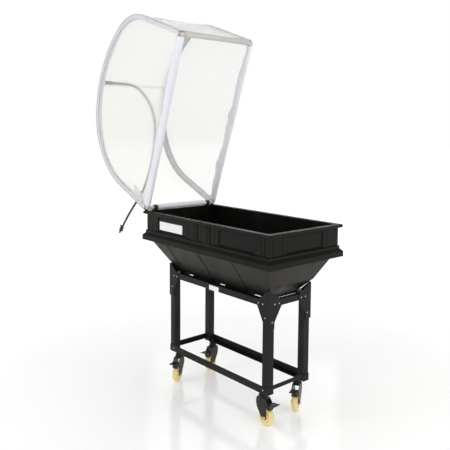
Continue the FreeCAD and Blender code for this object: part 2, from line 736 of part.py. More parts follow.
def make_pedal(name, place):
    """The brake lever: a boss on the pivot, a tread plate and a shoe over the wheel's outer side."""
    high, reach, at = S["pedal_height"], S["pedal_reach"], S["pedal_pivot"]
    tip, low = high + 15, high + 8
    outline = [(at - 8, high + 6), (at + 6, high + 8), (at + 20, low + 4), (reach - 14, low + 3),
               (reach - 3, tip), (reach + 1, tip - 2), (reach - 8, low - 1), (at + 24, low),
               (at + 18, high - 8), (at + 15, high - 23.5), (at + 7, high - 20.5),
               (at + 3, high - 8), (at - 7, high - 6), (at - 11, high)]
    narrow = S["fork_gap"] - 3
    lever = padded_outline(f"pedal_{name}_lever", "XZ_Plane", outline, narrow, -narrow / 2)
    tread = padded_outline(f"pedal_{name}_tread", "XZ_Plane", [
        (at + 18, low + 3.6), (reach - 14, low + 3), (reach - 3, tip), (reach + 1, tip - 2),
        (reach - 8, low - 1), (at + 18, low)], 38, -19)
    body = fuse(f"pedal_{name}_body", [lever, tread])
    bore = rod(f"pedal_{name}_bore", 3 + S["running_gap"], (at, -25, high), 50, "Y")
    node = cut(f"brake_pedal_{name}", body, [bore])
    node.Placement = place
    finish_node(node, f"brake_pedal_{name}")


# ---------------------------------------------------------------- canopy

# The canopy is drawn closed: X from the hinge to the free end, Z up, the base frame at Z = 0.
SPAN = S["canopy_length"]
HALF_SPAN = SPAN / 2
HALF_WIDE = S["canopy_width"] / 2
HINGE = Vector((S["hinge_inset"] - S["rim_length"] / 2).value, 0,
               (S["rim_top"] + S["hinge_rise"]).value)
CANOPY_PLACE = Placement(HINGE, Rotation(Vector(0, 1, 0), -S["open_angle"].value))


def canopy_node(obj, label):
    obj.Placement = CANOPY_PLACE
    return finish_node(obj, label)


def crown_centre():
    """Height of the crown arc's centre above the base frame."""
    reach = S["crown"].value - S["haunch"].value
    side = HALF_SPAN.value - S["haunch"].value
    return S["shoulder"].value - math.sqrt(reach ** 2 - side ** 2)


def crown_height():
    return crown_centre() + S["crown"].value


def hinge_haunch_height():
    """Height of the centre of the wider haunch arc on the hinge side."""
    reach = S["crown"].value - S["hinge_haunch"].value
    side = HALF_SPAN.value - S["hinge_haunch_centre"].value
    return crown_centre() + math.sqrt(reach ** 2 - side ** 2)


def hinge_leg_way(grow, foot):
    """The way that the hinge side's leg leans, from its foot to where it meets its haunch."""
    across = S["hinge_haunch_centre"].value + grow
    up = hinge_haunch_height() - foot
    radius = S["hinge_haunch"].value + grow
    reach = math.hypot(across, up)
    angle = math.atan2(up, across) + math.asin(radius / reach)
    return Vector(math.cos(angle), math.sin(angle), 0), math.sqrt(reach ** 2 - radius ** 2)


def arch(sketch, middle, grow, foot):
    """A leaning leg and wide haunch, a crown, then a tight haunch and an upright leg."""
    grow, foot, up = as_size(grow), as_size(foot), Vector(0, 0, 1)
    half, haunch, crown = HALF_SPAN + grow, S["haunch"] + grow, S["crown"] + grow
    wide, shoulder = S["hinge_haunch"] + grow, S["shoulder"]
    first = sketch.GeometryCount
    side, centre_z = (half - haunch).value, crown_centre()
    lean = math.atan2(shoulder.value - centre_z, side)
    left, right = (middle - half).value, (middle + half).value
    wide_centre = Vector(S["hinge_haunch_centre"].value, hinge_haunch_height(), 0)
    wide_lean = math.atan2(wide_centre.y - centre_z, middle.value - wide_centre.x)
    way, length = hinge_leg_way(grow.value, foot.value)
    foot_point = Vector(left, foot.value, 0)
    meeting = foot_point + way * length
    turn = math.atan2(meeting.y - wide_centre.y, meeting.x - wide_centre.x) % (2 * math.pi)
    sketch.addGeometry([
        Part.LineSegment(foot_point, meeting),
        Part.ArcOfCircle(Part.Circle(wide_centre, up, wide.value), math.pi - wide_lean, turn),
        Part.ArcOfCircle(Part.Circle(Vector(middle.value, centre_z, 0), up, crown.value),
                         lean, math.pi - wide_lean),
        Part.ArcOfCircle(Part.Circle(Vector(middle.value + side, shoulder.value, 0), up,
                                     haunch.value), 0, lean),
        Part.LineSegment(Vector(right, shoulder.value, 0), Vector(right, foot.value, 0)),
    ], False)
    leg, left_arc, top_arc, right_arc, far_leg = range(first, first + 5)
    for a, a_end, b, b_end in ((leg, 2, left_arc, 2), (left_arc, 1, top_arc, 2),
                               (top_arc, 1, right_arc, 2), (right_arc, 1, far_leg, 1)):
        sketch.addConstraint(Sketcher.Constraint("Tangent", a, a_end, b, b_end))
    hold_point(sketch, leg, 1, middle - half, foot)
    hold_point(sketch, far_leg, 2, middle + half, foot)
    sketch.addConstraint(Sketcher.Constraint("Vertical", far_leg))
    for rule, item, end, size in (("DistanceX", left_arc, 3, S["hinge_haunch_centre"]),
                                  ("DistanceX", top_arc, 3, middle),
                                  ("DistanceY", far_leg, 1, shoulder)):
        index = sketch.addConstraint(Sketcher.Constraint(rule, -1, 1, item, end, size.value))
        bind(sketch, f"Constraints[{index}]", size)
    for arc, radius in ((left_arc, wide), (right_arc, haunch), (top_arc, crown)):
        index = sketch.addConstraint(Sketcher.Constraint("Radius", arc, radius.value))
        bind(sketch, f"Constraints[{index}]", radius)
    return leg, far_leg


def make_hoop(label, y):
    """A bent tube from the hinge corner over to the free corner, in one side plane."""
    body = new_body(label)
    start = S["frame_tube_radius"] + 1.5
    path = new_sketch(body, label + "_path", "XZ_Plane", -as_size(y))
    arch(path, HALF_SPAN, as_size(0), start)
    profile = new_sketch(body, label + "_section", "XY_Plane", start)
    circle(profile, S["hoop_tube_radius"], as_size(0), y)
    circle(profile, S["hoop_tube_radius"] - S["tube_gauge"], as_size(0), y)
    pipe = body.newObject("PartDesign::AdditivePipe", label + "_pipe")
    pipe.Profile = profile
    pipe.Spine = (path, [])
    canopy_node(body, label)


def tube(name, radius, gauge, start, length, axis):
    """A round tube of the given outer radius."""
    outer = rod(name + "_outside", radius, start, length, axis)
    inner = rod(name + "_inside", radius - gauge, start, length, axis)
    return cut(name, outer, [inner])


def make_base_frame():
    """Four straight tubes and the corner sockets that join them to the hoops."""
    radius, gauge = S["frame_tube_radius"], S["tube_gauge"]
    back = radius + 1.5
    for tag, sign in (("front", -1), ("rear", 1)):
        name = f"side_tube_{tag}"
        canopy_node(tube(name, radius, gauge, (back, HALF_WIDE * sign, 0), SPAN - back * 2, "X"),
                    name)
    for name, x in (("hinge_tube", as_size(0)), ("free_end_tube", SPAN)):
        canopy_node(tube(name, radius, gauge, (x, back - HALF_WIDE, 0), (HALF_WIDE - back) * 2,
                         "Y"), name)
    sockets = []
    outer, reach = S["socket_radius"], S["socket_length"]
    for tag_y, sign in (("front", -1), ("rear", 1)):
        for tag_x, x, turn in (("hinge", as_size(0), 1), ("free", SPAN, -1)):
            name = f"socket_{tag_y}_{tag_x}"
            y = HALF_WIDE * sign
            ball = doc.addObject("Part::Sphere", name + "_ball")
            bind(ball, "Radius", outer)
            set_place(ball, (x, y, as_size(0)))
            x_start = x if turn > 0 else x - reach
            y_start = y if sign < 0 else y - reach
            x_bore = x + back if turn > 0 else x - reach - 1
            y_bore = y + back if sign < 0 else y - reach - 1
            depth = reach + 1 - back
            way = Vector(0, 0, 1)
            if turn > 0:
                slope, _ = hinge_leg_way(0, back.value)
                way = Vector(slope.x, 0, slope.y)
            seat = Vector(x.value, y.value, back.value)
            barrel = turned_cylinder(name + "_up", outer - 0.5, reach, seat + way * 8, way)
            bore = turned_cylinder(name + "_bore_up", S["hoop_tube_radius"] + 0.05, reach,
                                   seat + way * (reach.value / 2 - 1), way)
            solid = fuse(name + "_solid", [
                ball,
                rod(name + "_along", outer, (x_start, y, 0), reach, "X"),
                rod(name + "_across", outer, (x, y_start, 0), reach, "Y"),
                barrel,
            ])
            sockets.append(cut(name, solid, [
                rod(name + "_bore_along", radius + 0.05, (x_bore, y, 0), depth, "X"),
                rod(name + "_bore_across", radius + 0.05, (x, y_bore, 0), depth, "Y"),
                bore,
            ]))
    canopy_node(group("corner_sockets", sockets), "corner_sockets")


def make_ridge():
    """The pole between the two hoop crowns, with a saddle clip at each end."""
    radius = S["ridge_radius"]
    height = crown_height()
    across = HALF_SPAN + S["ridge_shift"]
    stop = HALF_WIDE - S["hoop_tube_radius"] - 0.3
    solids = [tube("ridge_tube", radius, S["tube_gauge"], (across, -stop, height), stop * 2,
                   "Y")]
    for tag, sign in (("front", -1), ("rear", 1)):
        start = (stop - 20) if sign > 0 else -stop
        collar = rod(f"ridge_collar_{tag}", radius + 3, (across, start, height), 20, "Y")
        hole = rod(f"ridge_collar_bore_{tag}", radius + 0.05, (across, start - 1, height), 22,
                   "Y")
        solids.append(cut(f"ridge_clip_{tag}", collar, [hole]))
    canopy_node(group("ridge_pole", solids), "ridge_pole")
    return height


def make_covers(exit_axis):
    """Two flat gables and the roof sheet that wraps over the hoops, bored for the hose."""
    gauge, foot = S["cover_gauge"], S["cover_foot"]
    grow = S["socket_radius"] + S["cover_gap"]
    face = HALF_WIDE + grow
    for tag, sign in (("front", -1), ("rear", 1)):
        name = f"cover_gable_{tag}"
        body = new_body(name)
        lift = face if sign < 0 else -face - gauge
        sketch = new_sketch(body, name + "_outline", "XZ_Plane", lift)
        leg, far_leg = arch(sketch, HALF_SPAN, grow, foot)
        edge = sketch.addGeometry(Part.LineSegment(
            sketch.getPoint(far_leg, 2), sketch.getPoint(leg, 1)), False)
        sketch.addConstraint(Sketcher.Constraint("Coincident", far_leg, 2, edge, 1))
        sketch.addConstraint(Sketcher.Constraint("Coincident", edge, 2, leg, 1))
        pad(body, name + "_pad", sketch, gauge)
        canopy_node(body, name)
    body = new_body("cover_roof_sheet")
    sketch = new_sketch(body, "cover_roof_section", "XZ_Plane", -face)
    outer_leg, outer_far = arch(sketch, HALF_SPAN, grow + gauge, foot)
    inner_leg, inner_far = arch(sketch, HALF_SPAN, grow, foot)
    for a, a_end, b, b_end in ((outer_leg, 1, inner_leg, 1), (outer_far, 2, inner_far, 2)):
        p, q = sketch.getPoint(a, a_end), sketch.getPoint(b, b_end)
        edge = sketch.addGeometry(Part.LineSegment(p, q), False)
        sketch.addConstraint(Sketcher.Constraint("Coincident", a, a_end, edge, 1))
        sketch.addConstraint(Sketcher.Constraint("Coincident", b, b_end, edge, 2))
    pad(body, "cover_roof_pad", sketch, face * 2)
    hole = turned_cylinder("cover_roof_hole", S["grommet_radius"] + 0.1, 60, *exit_axis)
    canopy_node(cut("cover_roof", body, [hole]), "cover_roof")


def make_hinge_clips():
    """Saddles on the rim that the hinge tube turns in, and a stop pad under each hinge corner."""
    solids = []
    rim = S["rim_top"]
    x = S["hinge_inset"] - S["rim_length"] / 2
    z = rim + S["hinge_rise"]
    ring = 14
    for tag, sign in (("front", -1), ("rear", 1)):
        name = f"hinge_clip_{tag}"
        centre = S["clip_offset"] * sign
        low_y = centre - S["clip_width"] / 2
        saddle = rod(name + "_ring", ring, (x, low_y, z), S["clip_width"], "Y")
        foot = box(name + "_foot", (x - 14, low_y, rim), (x + 12, low_y + S["clip_width"], z - 8))
        bore = rod(name + "_bore", S["frame_tube_radius"] + 0.05, (x, low_y - 1, z),
                   S["clip_width"] + 2, "Y")
        knob = rod(name + "_knob", 5, (x + 17, centre, rim), 9)
        tab = box(name + "_tab", (x + 8, low_y + 4, rim), (x + 22, low_y + S["clip_width"] - 4,
                                                         rim + 4))
        solids.append(cut(name, fuse(name + "_solid", [saddle, foot, knob, tab]), [bore]))
        corner = HALF_WIDE * sign
        solids.append(box(f"hinge_stop_{tag}", (x - 17, corner - 9, rim), (x - 9, corner + 9,
                                                                       rim + 7)))
    finish_node(group("hinge_clips", solids), "hinge_clips")


# ---------------------------------------------------------------- misting hose

# The hose's route in the closed canopy's frame: X from the hinge tube, Y across, Z up.
HOSE_ROUTE = (
    (520, -186, 686), (520, -130, 686), (521, -75, 682), (515, -30, 656), (492, -5, 597),
    (450, 4, 515), (393, -6, 425), (325, -36, 345), (255, -72, 277), (182, -108, 222),
    (106, -136, 190), (30, -156, 182), (-50, -166, 207), (-126, -171, 241), (-200, -174, 272),
    (-276, -175, 300),
)


# the run of the route that passes through the roof sheet
HOSE_EXIT = 11


def rounded_route(points):
    """Straight runs joined by tangent arcs, each as large as its two runs allow."""
    corners = [Vector(*p) for p in points]
    edges, radii = [], []
    here = corners[0]
    for before, corner, after in zip(corners, corners[1:], corners[2:]):
        back, ahead = before - corner, after - corner
        run = min(back.Length, ahead.Length)
        back.normalize()
        ahead.normalize()
        turn = math.pi - back.getAngle(ahead)
        trim = 0.45 * run
        radius = trim / math.tan(turn / 2)
        start, stop = corner + back * trim, corner + ahead * trim
        bisector = back + ahead
        bisector.normalize()
        middle = corner + bisector * (radius / math.cos(turn / 2) - radius)
        edges.append(Part.LineSegment(here, start).toShape())
        edges.append(Part.Arc(start, middle, stop).toShape())
        radii.append(round(radius))
        here = stop
    edges.append(Part.LineSegment(here, corners[-1]).toShape())
    print("hose radii", radii)
    return Part.Wire(edges)


def make_hose():
    """The pipe, the spray head it starts in, its grommet and the connector on its end."""
    radius = S["hose_radius"].value
    route = rounded_route(HOSE_ROUTE)
    corners = [Vector(*p) for p in HOSE_ROUTE]
    first_way = (corners[1] - corners[0]).normalize()
    last_way = (corners[-1] - corners[-2]).normalize()
    section = Part.Wire(Part.Circle(corners[0], first_way, radius).toShape())
    shape = route.makePipeShell([section], True, False)
    expected = math.pi * radius ** 2 * route.Length
    print("hose length", round(route.Length), "volume ratio", round(shape.Volume / expected, 4))
    pipe = doc.addObject("Part::Feature", "mist_hose")
    pipe.Shape = shape
    canopy_node(pipe, "mist_hose")
    hose = shape.copy()

    head_parts = [
        rod("mist_head_barrel", 11, (corners[0].x, corners[0].y - 34, corners[0].z), 34, "Y"),
        rod("mist_head_nozzle", 5, (corners[0].x, corners[0].y - 17, corners[0].z - 26), 20),
        cone("mist_head_tip", 4, 8, (corners[0].x, corners[0].y - 17, corners[0].z - 30), 8),
    ]
    pole_gap = rod("mist_head_pole_gap", S["ridge_radius"] + 3.2,
                   (HALF_SPAN + S["ridge_shift"], -HALF_WIDE, crown_height()), HALF_WIDE, "Y")
    canopy_node(cut("mist_head", fuse("mist_head_solid", head_parts), [pole_gap]), "mist_head")

    before, after = corners[HOSE_EXIT], corners[HOSE_EXIT + 1]
    wall = -S["socket_radius"].value - S["cover_gap"].value - S["cover_gauge"].value / 2
    crossing = before + (after - before) * ((wall - before.x) / (after.x - before.x))
    return hose, crossing, (after - before).normalize(), corners[-1], last_way


def make_grommet(hose, centre, way):
    """A rubber sleeve round the hose where it passes through the roof sheet."""
    sleeve = turned_cylinder("grommet_sleeve", S["grommet_radius"], S["grommet_length"], centre, way)
    passage = doc.addObject("Part::Feature", "grommet_passage")
    passage.Shape = hose
    canopy_node(cut("hose_grommet", sleeve, [passage]), "hose_grommet")


def make_connector(tip, way):
    """The clamp, the collar and the click-on spigot that ends the hose."""
    turn = Rotation(Vector(0, 0, 1), way)
    stretches = (("collar", 9.5, 0, 14), ("body", 11.5, 12, 16), ("neck", 8, 26, 8),
                 ("spigot", 6, 32, 18))
    parts = []
    for tag, radius, start, length in stretches:
        piece = doc.addObject("Part::Cylinder", f"connector_{tag}")
        piece.Radius = radius
        piece.Height = length
        piece.Placement = Placement(tip + way * start, turn)
        parts.append(piece)
    for tag, reach, at in (("ear", 21, 3), ("wing", -17, 16)):
        piece = doc.addObject("Part::Box", f"connector_{tag}")
        piece.Length, piece.Width, piece.Height = abs(reach), 7, 7
        shift = Vector(min(reach, 0), -3.5, at)
        piece.Placement = Placement(tip, turn).multiply(Placement(shift, Rotation()))
        parts.append(piece)
    canopy_node(fuse("hose_connector", parts), "hose_connector")
    return tip + way * 32


# ---------------------------------------------------------------- assembly

wall_ring = make_wall_ring()
for side_name, side_sign in (("front", -1), ("rear", 1)):
    for end_name, end_turn in (("left", -1), ("right", 1)):
        make_corner_post(side_name, side_sign, end_name, end_turn)
        make_long_wall(side_name, side_sign, end_name, end_turn)
        make_leg(side_name, side_sign, end_name, end_turn)
    make_long_rail(f"top_rail_{side_name}", side_sign, S["rail_top"] - S["rail_depth"],
                   S["rail_depth"], True)
    make_long_rail(f"lower_rail_{side_name}", side_sign, S["lower_rail_base"],
                   S["lower_rail_depth"], False)
for end_name, end_turn in (("left", -1), ("right", 1)):
    make_end_wall(end_name, end_turn)
    make_end_rail(f"top_rail_{end_name}", end_turn, S["rail_top"] - S["rail_depth"],
                  S["rail_depth"], True)
    make_end_rail(f"lower_rail_{end_name}", end_turn, S["end_rail_base"], S["end_rail_depth"],
                  False)
make_hopper()
make_labels()
make_gussets()
make_bolts()
make_caster_heads()
for caster, caster_sign, caster_turn, caster_heading in CASTERS:
    caster_place = swivel_place(caster_sign, caster_turn, caster_heading)
    make_fork(caster, caster_place)
    make_wheel(caster, caster_place)
    make_axle(caster, caster_place)
    make_pedal(caster, caster_place)
for hoop_side, hoop_sign in (("front", -1), ("rear", 1)):
    make_hoop(f"hoop_{hoop_side}", HALF_WIDE * hoop_sign)
make_base_frame()
ridge_height = make_ridge()
hose_shape, crossing_point, crossing_way, hose_tip, hose_way = make_hose()
make_covers((crossing_point, crossing_way))
make_grommet(hose_shape, crossing_point, crossing_way)
spigot_start = make_connector(hose_tip, hose_way)
make_hinge_clips()

doc.recompute()

for item in doc.Objects:
    if "Invalid" in item.State or "Error" in item.State:
        raise RuntimeError(f"{item.Name} failed: {item.State}")
os.makedirs("parts", exist_ok=True)
for node in nodes:
    if node.Shape.isNull() or not node.Shape.isValid() or not node.Shape.Solids:
        raise RuntimeError(f"{node.Label} has no valid solid")
for node in nodes:
    node.Shape.exportStep(f"parts/{node.Label}.step")
print(len(nodes), "sub-parts, hinge at", HINGE, "spigot at", CANOPY_PLACE.multVec(spigot_start),
      "along", CANOPY_PLACE.Rotation.multVec(hose_way))
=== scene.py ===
"""Looks for the raised cold frame: a self-watering tub on a wheeled stand, under a fabric canopy.

The tub, the stand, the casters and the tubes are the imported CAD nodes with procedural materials.
The fabric cover, its sleeves and the mist hose are built here, in the canopy's closed position, and
placed by the hinge's own angle.
"""

import json
import math

import bpy
import numpy as np
from mathutils import Euler, Matrix, Vector


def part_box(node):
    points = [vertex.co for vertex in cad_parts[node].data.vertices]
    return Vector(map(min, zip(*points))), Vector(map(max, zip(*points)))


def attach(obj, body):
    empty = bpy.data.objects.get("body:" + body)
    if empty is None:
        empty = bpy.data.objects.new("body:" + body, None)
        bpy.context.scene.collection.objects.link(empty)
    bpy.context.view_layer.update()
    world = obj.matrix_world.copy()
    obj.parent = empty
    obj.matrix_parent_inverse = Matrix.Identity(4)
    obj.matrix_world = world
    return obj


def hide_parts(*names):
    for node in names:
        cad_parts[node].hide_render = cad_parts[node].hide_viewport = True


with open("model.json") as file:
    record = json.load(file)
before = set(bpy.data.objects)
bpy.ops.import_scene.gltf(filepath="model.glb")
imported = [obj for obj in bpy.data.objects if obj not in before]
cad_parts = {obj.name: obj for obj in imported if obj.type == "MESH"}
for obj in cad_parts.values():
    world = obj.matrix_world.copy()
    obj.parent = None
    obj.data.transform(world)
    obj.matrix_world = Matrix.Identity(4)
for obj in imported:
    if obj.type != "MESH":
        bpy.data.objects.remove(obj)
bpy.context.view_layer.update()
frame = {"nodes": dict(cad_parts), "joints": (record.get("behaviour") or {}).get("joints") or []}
nodes = frame["nodes"]
scene = bpy.context.scene

# ---------------------------------------------------------------- camera, light and floor

# Where the camera stands in metres, its turns in radians, and its lens and sensor in millimetres.
CAMERA_PLACE = (2.3369, -2.0822, 1.4221)
CAMERA_PITCH = 0.0851
CAMERA_YAW = 0.8402
CAMERA_ROLL = 0.0097
CAMERA_LENS = 48.122
CAMERA_SENSOR = 36.0
CAMERA_SHIFT = (-0.03039, -0.10274)

# The white world's strength, and how much of it shows where a surface mirrors it.
WORLD_LEVEL = 1.0
MIRRORED_LEVEL = 0.42

FLOOR_REACH = 40.0
# The floor glows a little, more with distance: from one radius and strength to another.
FLOOR_GLOW_NEAR = (1.2, 0.08)
FLOOR_GLOW_FAR = (6.0, 0.50)


def make_camera():
    data = bpy.data.cameras.new("camera")
    data.lens = CAMERA_LENS
    data.sensor_width = CAMERA_SENSOR
    data.shift_x, data.shift_y = CAMERA_SHIFT
    camera = bpy.data.objects.new("camera", data)
    turn = Euler((math.pi / 2 - CAMERA_PITCH, 0, CAMERA_YAW)).to_matrix().to_4x4()
    camera.matrix_world = Matrix.Translation(CAMERA_PLACE) @ turn @ Matrix.Rotation(CAMERA_ROLL, 4, "Z")
    scene.collection.objects.link(camera)
    scene.camera = camera


def area_light(name, place, target, size, power, colour):
    data = bpy.data.lights.new(name, "AREA")
    data.shape = "RECTANGLE"
    data.size, data.size_y = size
    data.energy = power
    data.color = colour
    light = bpy.data.objects.new(name, data)
    light.location = place
    light.rotation_mode = "QUATERNION"
    light.rotation_quaternion = (Vector(target) - Vector(place)).to_track_quat("-Z", "Y")
    light.visible_transmission = False
    scene.collection.objects.link(light)


def make_studio():
    """A white world and three soft lamps. Surfaces mirror a dimmer world than the one that lights them.

    Light through rough cloth counts as glossy as well as transmitted, so that kind isn't dimmed.
    """
    world = bpy.data.worlds.new("studio")
    world.use_nodes = True
    tree = world.node_tree
    back = tree.nodes["Background"]
    back.inputs["Color"].default_value = (1.0, 1.0, 1.0, 1.0)
    path = tree.nodes.new("ShaderNodeLightPath")
    level = tree.nodes.new("ShaderNodeMapRange")
    level.inputs["To Min"].default_value = WORLD_LEVEL
    level.inputs["To Max"].default_value = MIRRORED_LEVEL
    mirrored = tree.nodes.new("ShaderNodeMath")
    mirrored.operation = "SUBTRACT"
    mirrored.use_clamp = True
    tree.links.new(path.outputs["Is Glossy Ray"], mirrored.inputs[0])
    tree.links.new(path.outputs["Is Transmission Ray"], mirrored.inputs[1])
    tree.links.new(mirrored.outputs[0], level.inputs["Value"])
    tree.links.new(level.outputs[0], back.inputs["Strength"])
    scene.world = world
    scene.view_settings.view_transform = "Standard"
    area_light("key", (-1.6, -3.6, 2.4), (-0.1, 0, 0.7), (0.7, 2.4), 16, (0.96, 0.98, 1.0))
    area_light("side", (3.6, 0.9, 1.5), (0, 0, 0.6), (0.8, 2.4), 18, (1.0, 0.93, 0.80))
    area_light("back", (-2.6, 2.4, 2.4), (-0.5, 0, 1.4), (2.2, 2.2), 14, (1.0, 1.0, 1.0))


# ---------------------------------------------------------------- materials


class Finish:
    """One procedural material: a Principled shader and a few helpers for the nodes that feed it."""

    def __init__(self, name, **sockets):
        self.material = bpy.data.materials.new(name)
        self.material.use_nodes = True
        self.tree = self.material.node_tree
        self.shader = self.tree.nodes["Principled BSDF"]
        self.place = self.tree.nodes.new("ShaderNodeTexCoord").outputs["Object"]
        for key, value in sockets.items():
            self.shader.inputs[key.replace("_", " ")].default_value = value

    def give(self, socket, value):
        """Feeds a socket from another node's output, or sets it to a plain value."""
        if isinstance(value, bpy.types.NodeSocket):
            self.tree.links.new(value, socket)
        else:
            socket.default_value = value

    def node(self, kind, **links):
        made = self.tree.nodes.new("ShaderNode" + kind)
        for key, value in links.items():
            self.give(made.inputs[key.replace("_", " ")], value)
        return made

    def feed(self, socket, value):
        self.tree.links.new(value, self.shader.inputs[socket])

    def stretched(self, scale):
        made = self.node("Mapping", Vector=self.place)
        made.inputs["Scale"].default_value = scale
        return made.outputs["Vector"]

    def noise(self, scale, detail=3.0, roughness=0.55, stretch=None):
        vector = self.place if stretch is None else self.stretched(stretch)
        return self.node("TexNoise", Vector=vector, Scale=scale, Detail=detail,
                         Roughness=roughness).outputs["Fac"]

    def ranged(self, value, low, high, to_low, to_high):
        """The value, taken from one range to another and held at its ends."""
        return self.node("MapRange", Value=value, From_Min=low, From_Max=high, To_Min=to_low,
                         To_Max=to_high).outputs["Result"]

    def blended(self, share, first, second):
        """A colour that goes from the first to the second as the share goes from 0 to 1."""
        made = self.tree.nodes.new("ShaderNodeMix")
        made.data_type = "RGBA"
        colours = [s for s in made.inputs if s.type == "RGBA"]
        for socket, colour in zip(colours, (first, second)):
            self.give(socket, (*colour, 1.0) if isinstance(colour, tuple) else colour)
        self.tree.links.new(share, made.inputs["Factor"])
        return next(s for s in made.outputs if s.type == "RGBA")

    def combined(self, operation, first, second):
        made = self.tree.nodes.new("ShaderNodeMath")
        made.operation = operation
        for socket, value in zip(made.inputs, (first, second)):
            self.give(socket, value)
        return made.outputs["Value"]

    def summed(self, first, second):
        return self.combined("ADD", first, second)

    def multiplied(self, first, second):
        return self.combined("MULTIPLY", first, second)

    def bumped(self, height, distance, strength, round_edges=0.0):
        """Surface relief from a height, over edges that are softened in the shading."""
        made = self.node("Bump", Height=height, Distance=distance, Strength=strength)
        if round_edges:
            soft = self.node("Bevel", Radius=round_edges)
            soft.samples = 4
            self.tree.links.new(soft.outputs["Normal"], made.inputs["Normal"])
        self.feed("Normal", made.outputs["Normal"])


def moulded(name, dark, light, roughness, grain, depth, patch=7.0, edge=0.0008, **sockets):
    """A moulded or coated finish: patchy colour, a fine grain in the surface and softened edges."""
    made = Finish(name, **sockets)
    broad = made.noise(patch, 4.0, 0.6)
    fine = made.noise(grain, 2.0, 0.5)
    mixed = made.summed(made.ranged(broad, 0.3, 0.7, 0.0, 0.8), made.ranged(fine, 0.3, 0.7, 0.0, 0.2))
    made.feed("Base Color", made.blended(mixed, dark, light))
    worn = made.ranged(made.noise(patch * 3.1, 5.0, 0.65), 0.3, 0.75, roughness[0], roughness[1])
    made.feed("Roughness", worn)
    made.bumped(fine, depth, 0.6, edge)
    return made.material


def tub_finish():
    """Charcoal moulded plastic: fine spark-eroded grain, faint vertical flow marks and dusty scuffs."""
    made = Finish("tub_charcoal", Specular_IOR_Level=0.12)
    broad = made.noise(4.0, 4.0, 0.6)
    flow = made.noise(9.0, 3.0, 0.5, (1.0, 1.0, 0.12))
    grain = made.noise(620.0, 2.0, 0.5)
    scuff = made.noise(34.0, 6.0, 0.75, (1.0, 1.0, 2.4))
    tone = made.summed(made.ranged(broad, 0.3, 0.7, 0.0, 0.5), made.ranged(flow, 0.3, 0.7, 0.0, 0.5))
    base = made.blended(tone, (0.0030, 0.0028, 0.0022), (0.0100, 0.0094, 0.0074))
    dusty = made.blended(made.ranged(scuff, 0.6, 0.78, 0.0, 0.35), base, (0.040, 0.037, 0.030))
    made.feed("Base Color", dusty)
    made.feed("Roughness", made.ranged(made.summed(flow, scuff), 0.7, 1.3, 0.30, 0.50))
    made.bumped(made.summed(grain, made.multiplied(flow, 0.6)), 0.0004, 0.5, 0.0014)
    return made.material


# The height of the bend in the hopper's sides, and how far either side of it the painted shade of the lower
# band fades in.
HOPPER_BEND = 0.680
HOPPER_SHADE_EDGE = 0.004


def hopper_finish():
    """Thin vacuum-formed plastic: browner and duller than the walls, rippled downwards, and painted
    darker below the bend in its sides: painted shade on the lower band."""
    made = Finish("hopper_charcoal", Specular_IOR_Level=0.20)
    broad = made.noise(3.5, 4.0, 0.6)
    drawn = made.noise(14.0, 3.0, 0.5, (1.0, 1.0, 0.15))
    grain = made.noise(480.0, 2.0, 0.5)
    dust = made.noise(60.0, 6.0, 0.7)
    tone = made.summed(made.ranged(broad, 0.3, 0.7, 0.0, 0.5), made.ranged(drawn, 0.3, 0.7, 0.0, 0.5))
    base = made.blended(tone, (0.014, 0.0130, 0.0108), (0.032, 0.0295, 0.0235))
    axes = made.node("SeparateXYZ", Vector=made.place)
    free_of_painted_shade = made.ranged(axes.outputs["Z"], HOPPER_BEND - HOPPER_SHADE_EDGE,
                        HOPPER_BEND + HOPPER_SHADE_EDGE, 0.0, 1.0)
    # Painted shade: below the bend the colour is swapped for a darker one, standing in for shade on the
    # lower band.
    base = made.blended(free_of_painted_shade, (0.0075, 0.0069, 0.0055), base)
    made.feed("Base Color", made.blended(made.ranged(dust, 0.58, 0.8, 0.0, 0.3), base, (0.05, 0.046, 0.038)))
    made.feed("Roughness", made.ranged(drawn, 0.3, 0.7, 0.42, 0.6))
    made.bumped(made.summed(grain, made.multiplied(drawn, 1.5)), 0.0005, 0.5, 0.002)
    return made.material


def powder_coat():
    """Black powder coat: orange peel, and grey rubs on the edges and faces."""
    made = Finish("stand_powder_coat", Specular_IOR_Level=0.16)
    peel = made.noise(420.0, 2.0, 0.5)
    broad = made.noise(6.0, 3.0, 0.5)
    rub = made.noise(90.0, 6.0, 0.8)
    tone = made.ranged(broad, 0.3, 0.7, 0.0, 1.0)
    base = made.blended(tone, (0.0085, 0.0085, 0.0080), (0.0160, 0.0158, 0.0145))
    made.feed("Base Color", made.blended(made.ranged(rub, 0.66, 0.85, 0.0, 0.4), base, (0.05, 0.05, 0.048)))
    made.feed("Roughness", made.ranged(peel, 0.3, 0.7, 0.36, 0.52))
    made.bumped(peel, 0.0003, 0.5, 0.0008)
    return made.material


def zinc_plate():
    """Bright zinc: a metal with a crystalline sparkle and dull patches."""
    made = Finish("bright_zinc", Metallic=1.0)
    flake = made.node("TexVoronoi", Vector=made.place, Scale=380.0).outputs["Color"]
    grey = made.node("RGBToBW", Color=flake).outputs["Val"]
    made.feed("Base Color", made.blended(grey, (0.34, 0.35, 0.36), (0.58, 0.59, 0.60)))
    made.feed("Roughness", made.ranged(made.noise(150.0, 3.0), 0.3, 0.7, 0.22, 0.4))
    made.bumped(grey, 0.0001, 0.4, 0.0006)
    return made.material


# The distances from a wheel's centre between which dirt builds up on it, near its tread.
DIRT_FROM = 0.036
DIRT_TO = 0.044


